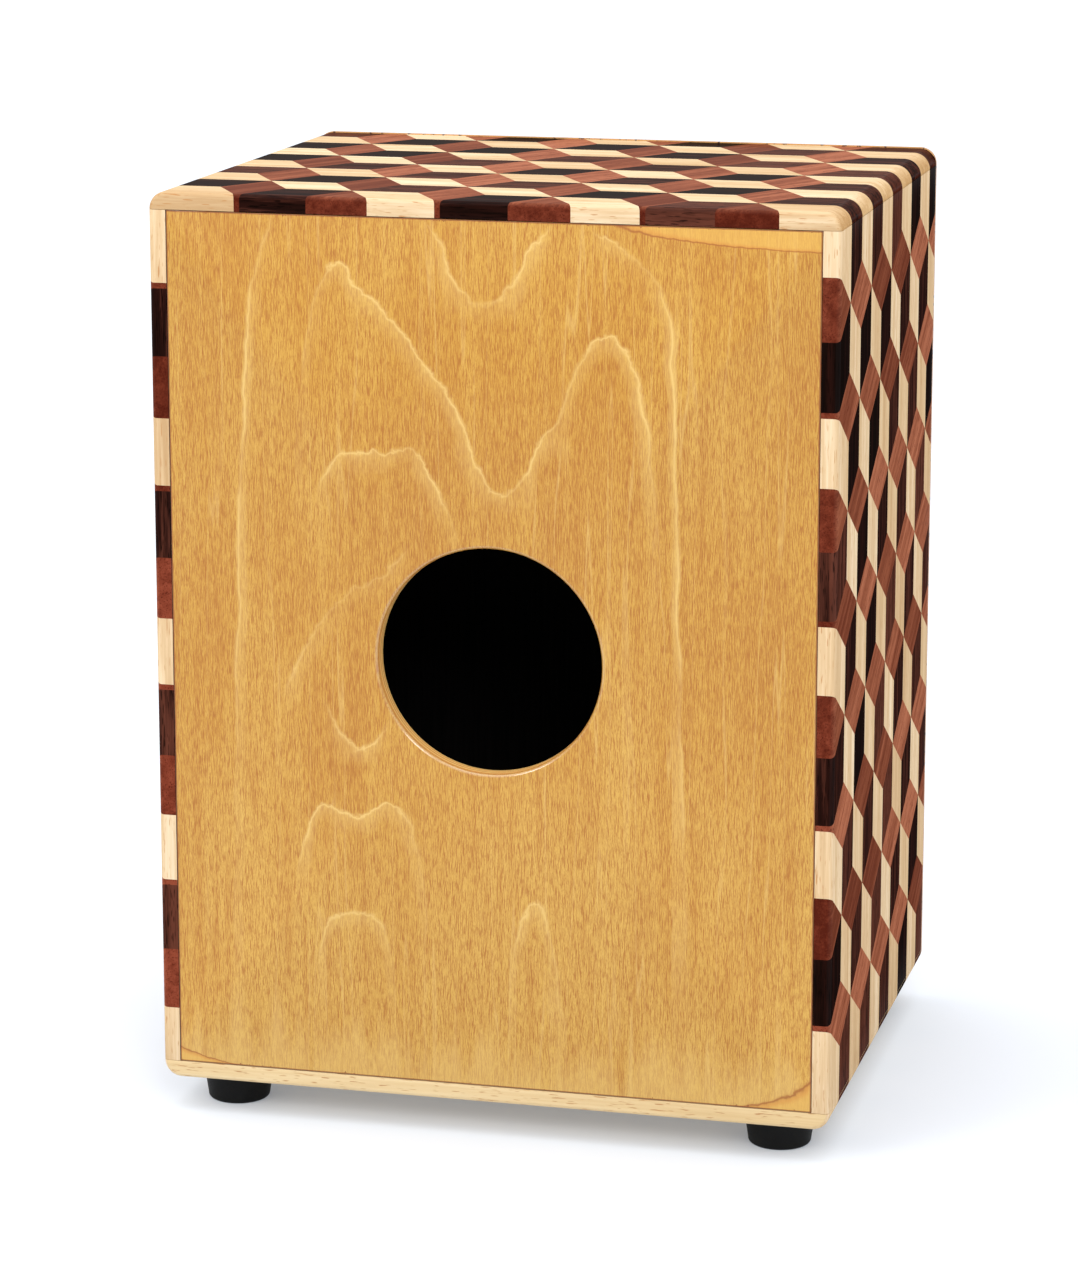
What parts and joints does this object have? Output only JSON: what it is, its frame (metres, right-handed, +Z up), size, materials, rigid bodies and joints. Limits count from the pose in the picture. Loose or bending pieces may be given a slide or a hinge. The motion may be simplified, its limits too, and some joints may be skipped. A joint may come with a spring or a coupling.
{
  "type": "cajon",
  "caption": "Wooden box drum with tumbling-block mosaic boards, a thin plywood playing face, a round rear sound hole, an inner swinging snare bar and rubber feet.",
  "frame": {"origin": "on the ground under the middle of the drum", "axes": "+Z up; +Y towards the player's hands, out of the tapa; -Y out of the sound hole; +X to the right as seen from the sound-hole side"},
  "size_m": [0.353, 0.2924, 0.483],
  "materials": {
    "mosaic": "satin-gloss lacquer over pale, dark and brown blocks",
    "pale_wood": "satin lacquer",
    "plywood": "satin-gloss lacquer",
    "tapa_plywood": "satin lacquer",
    "batten_wood": "raw, sanded",
    "bar_wood": "oiled",
    "rubber": "matte",
    "black_screw": "black oxide",
    "steel": "zinc plated",
    "brass": "satin"
  },
  "bodies": {
    "shell": {"bottom_board": "pale_wood", "foot_front_left": "rubber", "foot_front_right": "rubber", "foot_rear_left": "rubber", "foot_rear_right": "rubber", "foot_screw_front_left": "steel", "foot_screw_front_right": "steel", "foot_screw_rear_left": "steel", "foot_screw_rear_right": "steel", "foot_washer_front_left": "steel", "foot_washer_front_right": "steel", "foot_washer_rear_left": "steel", "foot_washer_rear_right": "steel", "front_batten_bottom": "batten_wood", "front_batten_left": "batten_wood", "front_batten_right": "batten_wood", "front_batten_top": "batten_wood", "left_side_board": "mosaic", "rear_batten_bottom": "batten_wood", "rear_batten_left": "batten_wood", "rear_batten_right": "batten_wood", "rear_batten_top": "batten_wood", "rear_panel": "plywood", "right_side_board": "mosaic", "snare_block_left": "bar_wood", "snare_block_right": "bar_wood", "tapa": "tapa_plywood", "tapa_screw_bottom_1": "black_screw", "tapa_screw_bottom_2": "black_screw", "tapa_screw_bottom_3": "black_screw", "tapa_screw_bottom_4": "black_screw", "tapa_screw_left_1": "black_screw", "tapa_screw_left_2": "black_screw", "tapa_screw_left_3": "black_screw", "tapa_screw_right_1": "black_screw", "tapa_screw_right_2": "black_screw", "tapa_screw_right_3": "black_screw", "tapa_screw_top_1": "black_screw", "tapa_screw_top_2": "black_screw", "tapa_screw_top_3": "black_screw", "tapa_screw_top_4": "black_screw", "top_board": "mosaic"},
    "snare_bar": {"snare_bar": "bar_wood", "snare_lever": "bar_wood", "snare_pin_left": "steel", "snare_pin_right": "steel", "snare_plate_left": "brass", "snare_plate_right": "brass", "snare_plate_screw_left_1": "steel", "snare_plate_screw_left_2": "steel", "snare_plate_screw_right_1": "steel", "snare_plate_screw_right_2": "steel", "snare_washer_left": "brass", "snare_washer_right": "brass", "snare_wires_left": "steel", "snare_wires_right": "steel"}
  },
  "joints": [
    {"name": "snare_tilt", "type": "hinge", "parent": "shell", "child": "snare_bar", "pos_m": [0, 0.11475, 0.335], "axis": [1, 0, 0], "range_deg": [0, 15]}
  ]
}
